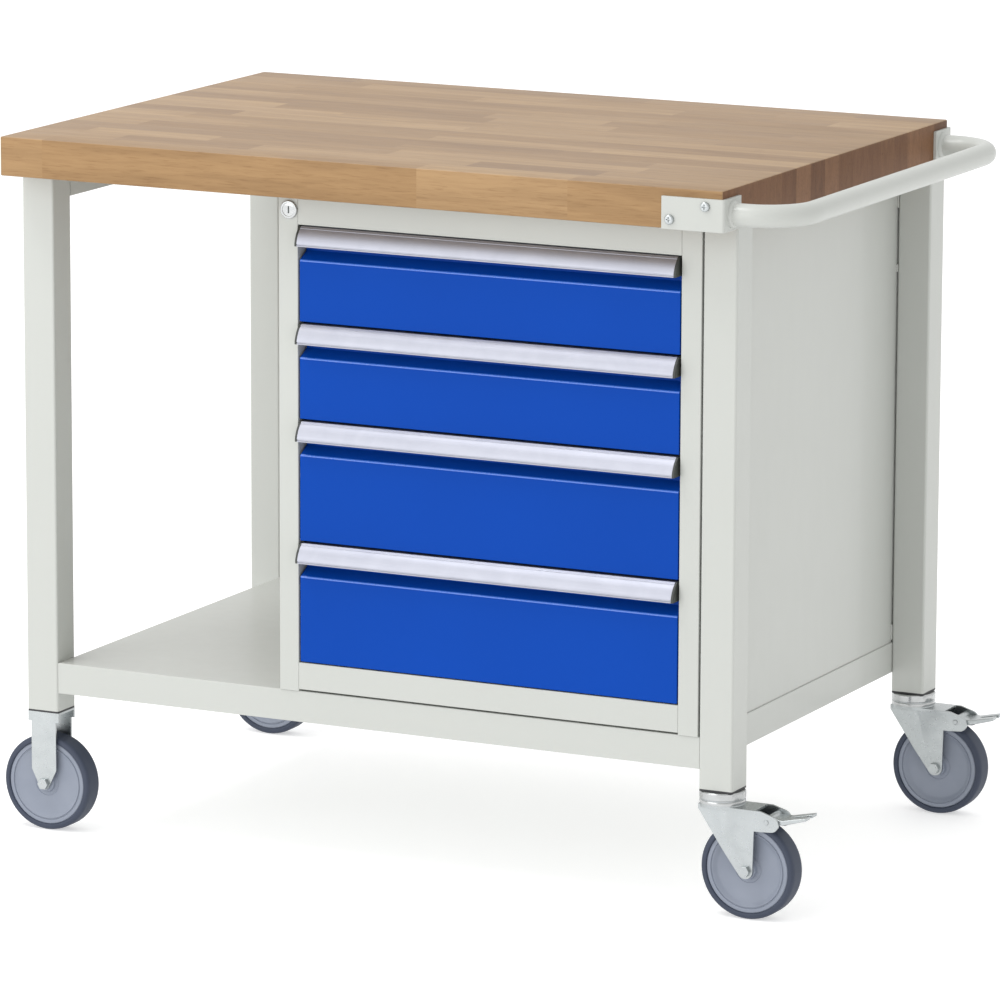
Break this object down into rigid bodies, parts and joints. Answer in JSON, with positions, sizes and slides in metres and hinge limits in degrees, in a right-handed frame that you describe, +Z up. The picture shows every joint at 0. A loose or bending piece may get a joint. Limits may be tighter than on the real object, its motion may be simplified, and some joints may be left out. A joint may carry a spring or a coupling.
{
  "type": "mobile workbench",
  "caption": "Mobile workbench with laminated beech top, tube legs, open shelf, lockable drawer cabinet, push handle, fixed casters and braked swivel casters.",
  "frame": {"origin": "centre of the bench's whole footprint, on the floor", "axes": "+X along the bench towards the push handle, +Y from the drawer fronts to the back, +Z up"},
  "size_m": [1.134, 0.7152, 0.91],
  "materials": {
    "beech": "oiled laminated beech staves",
    "grey_paint": "light grey powder coat, fine texture",
    "blue_paint": "gentian blue powder coat, semi-gloss",
    "grip_aluminium": "anodised extrusion, drawn lines",
    "cap_plastic": "dark moulded plastic",
    "black_plastic": "black moulded insert",
    "handle_steel": "light grey powder coat",
    "zinc": "bright zinc plate",
    "galvanised_steel": "galvanised strip",
    "lock_chrome": "polished plate",
    "slate_rubber": "solid slate-grey tread",
    "hub_plastic": "moulded grey nylon"
  },
  "bodies": {
    "bench": {"bracket_screws": "zinc", "cabinet_back": "grey_paint", "cabinet_bottom_rail": "grey_paint", "cabinet_post_left": "grey_paint", "cabinet_post_right": "grey_paint", "cabinet_runners": "galvanised_steel", "cabinet_side_left": "grey_paint", "cabinet_side_right": "grey_paint", "cabinet_tabs": "grey_paint", "cabinet_top_rail": "grey_paint", "fixed_axle_bolts": "zinc", "fixed_forks": "zinc", "handle_brackets": "handle_steel", "left_top_rail": "grey_paint", "leg_front_left": "grey_paint", "leg_front_right": "grey_paint", "leg_plugs": "black_plastic", "leg_rear_left": "grey_paint", "leg_rear_right": "grey_paint", "lock_rosette": "lock_chrome", "push_handle": "handle_steel", "rear_top_rail": "grey_paint", "shelf_tray": "grey_paint", "swivel_heads": "zinc", "worktop": "beech"},
    "drawer_1": {"drawer_1_box": "grey_paint", "drawer_1_front": "blue_paint", "drawer_1_grip": "grip_aluminium", "drawer_1_grip_caps": "cap_plastic", "drawer_1_slides": "galvanised_steel"},
    "drawer_2": {"drawer_2_box": "grey_paint", "drawer_2_front": "blue_paint", "drawer_2_grip": "grip_aluminium", "drawer_2_grip_caps": "cap_plastic", "drawer_2_slides": "galvanised_steel"},
    "drawer_3": {"drawer_3_box": "grey_paint", "drawer_3_front": "blue_paint", "drawer_3_grip": "grip_aluminium", "drawer_3_grip_caps": "cap_plastic", "drawer_3_slides": "galvanised_steel"},
    "drawer_4": {"drawer_4_box": "grey_paint", "drawer_4_front": "blue_paint", "drawer_4_grip": "grip_aluminium", "drawer_4_grip_caps": "cap_plastic", "drawer_4_slides": "galvanised_steel"},
    "wheel_front_left": {"hub_front_left": "hub_plastic", "tyre_front_left": "slate_rubber"},
    "wheel_rear_left": {"hub_rear_left": "hub_plastic", "tyre_rear_left": "slate_rubber"},
    "swivel_front_right": {"swivel_fork_front_right": "zinc", "axle_bolt_front_right": "zinc"},
    "wheel_front_right": {"hub_front_right": "hub_plastic", "tyre_front_right": "slate_rubber"},
    "brake_front_right": {"brake_lever_front_right": "zinc"},
    "swivel_rear_right": {"swivel_fork_rear_right": "zinc", "axle_bolt_rear_right": "zinc"},
    "wheel_rear_right": {"hub_rear_right": "hub_plastic", "tyre_rear_right": "slate_rubber"},
    "brake_rear_right": {"brake_lever_rear_right": "zinc"},
    "lock": {"lock_barrel": "lock_chrome"}
  },
  "joints": [
    {"name": "drawer_1_slide", "type": "slide", "parent": "bench", "child": "drawer_1", "axis": [0, -1, 0], "range_m": [0, 0.45]},
    {"name": "drawer_2_slide", "type": "slide", "parent": "bench", "child": "drawer_2", "axis": [0, -1, 0], "range_m": [0, 0.45]},
    {"name": "drawer_3_slide", "type": "slide", "parent": "bench", "child": "drawer_3", "axis": [0, -1, 0], "range_m": [0, 0.45]},
    {"name": "drawer_4_slide", "type": "slide", "parent": "bench", "child": "drawer_4", "axis": [0, -1, 0], "range_m": [0, 0.45]},
    {"name": "wheel_front_left_spin", "type": "hinge", "parent": "bench", "child": "wheel_front_left", "pos_m": [-0.5045, -0.2775, 0.0625], "axis": [0, 1, 0], "continuous": true},
    {"name": "wheel_rear_left_spin", "type": "hinge", "parent": "bench", "child": "wheel_rear_left", "pos_m": [-0.5045, 0.3265, 0.0625], "axis": [0, 1, 0], "continuous": true},
    {"name": "swivel_front_right_turn", "type": "hinge", "parent": "bench", "child": "swivel_front_right", "pos_m": [0.4465, -0.2775, 0.14], "axis": [0, 0, 1], "continuous": true},
    {"name": "wheel_front_right_spin", "type": "hinge", "parent": "swivel_front_right", "child": "wheel_front_right", "pos_m": [0.4865, -0.2775, 0.0625], "axis": [0, 1, 0], "continuous": true},
    {"name": "brake_front_right_press", "type": "hinge", "parent": "swivel_front_right", "child": "brake_front_right", "pos_m": [0.5145, -0.2775, 0.127], "axis": [0, 1, 0], "range_deg": [0, 12]},
    {"name": "swivel_rear_right_turn", "type": "hinge", "parent": "bench", "child": "swivel_rear_right", "pos_m": [0.4465, 0.3265, 0.14], "axis": [0, 0, 1], "continuous": true},
    {"name": "wheel_rear_right_spin", "type": "hinge", "parent": "swivel_rear_right", "child": "wheel_rear_right", "pos_m": [0.4865, 0.3265, 0.0625], "axis": [0, 1, 0], "continuous": true},
    {"name": "brake_rear_right_press", "type": "hinge", "parent": "swivel_rear_right", "child": "brake_rear_right", "pos_m": [0.5145, 0.3265, 0.127], "axis": [0, 1, 0], "range_deg": [0, 12]},
    {"name": "lock_turn", "type": "hinge", "parent": "bench", "child": "lock", "pos_m": [-0.1427, -0.3, 0.8378], "axis": [0, 1, 0], "range_deg": [0, 90]}
  ]
}
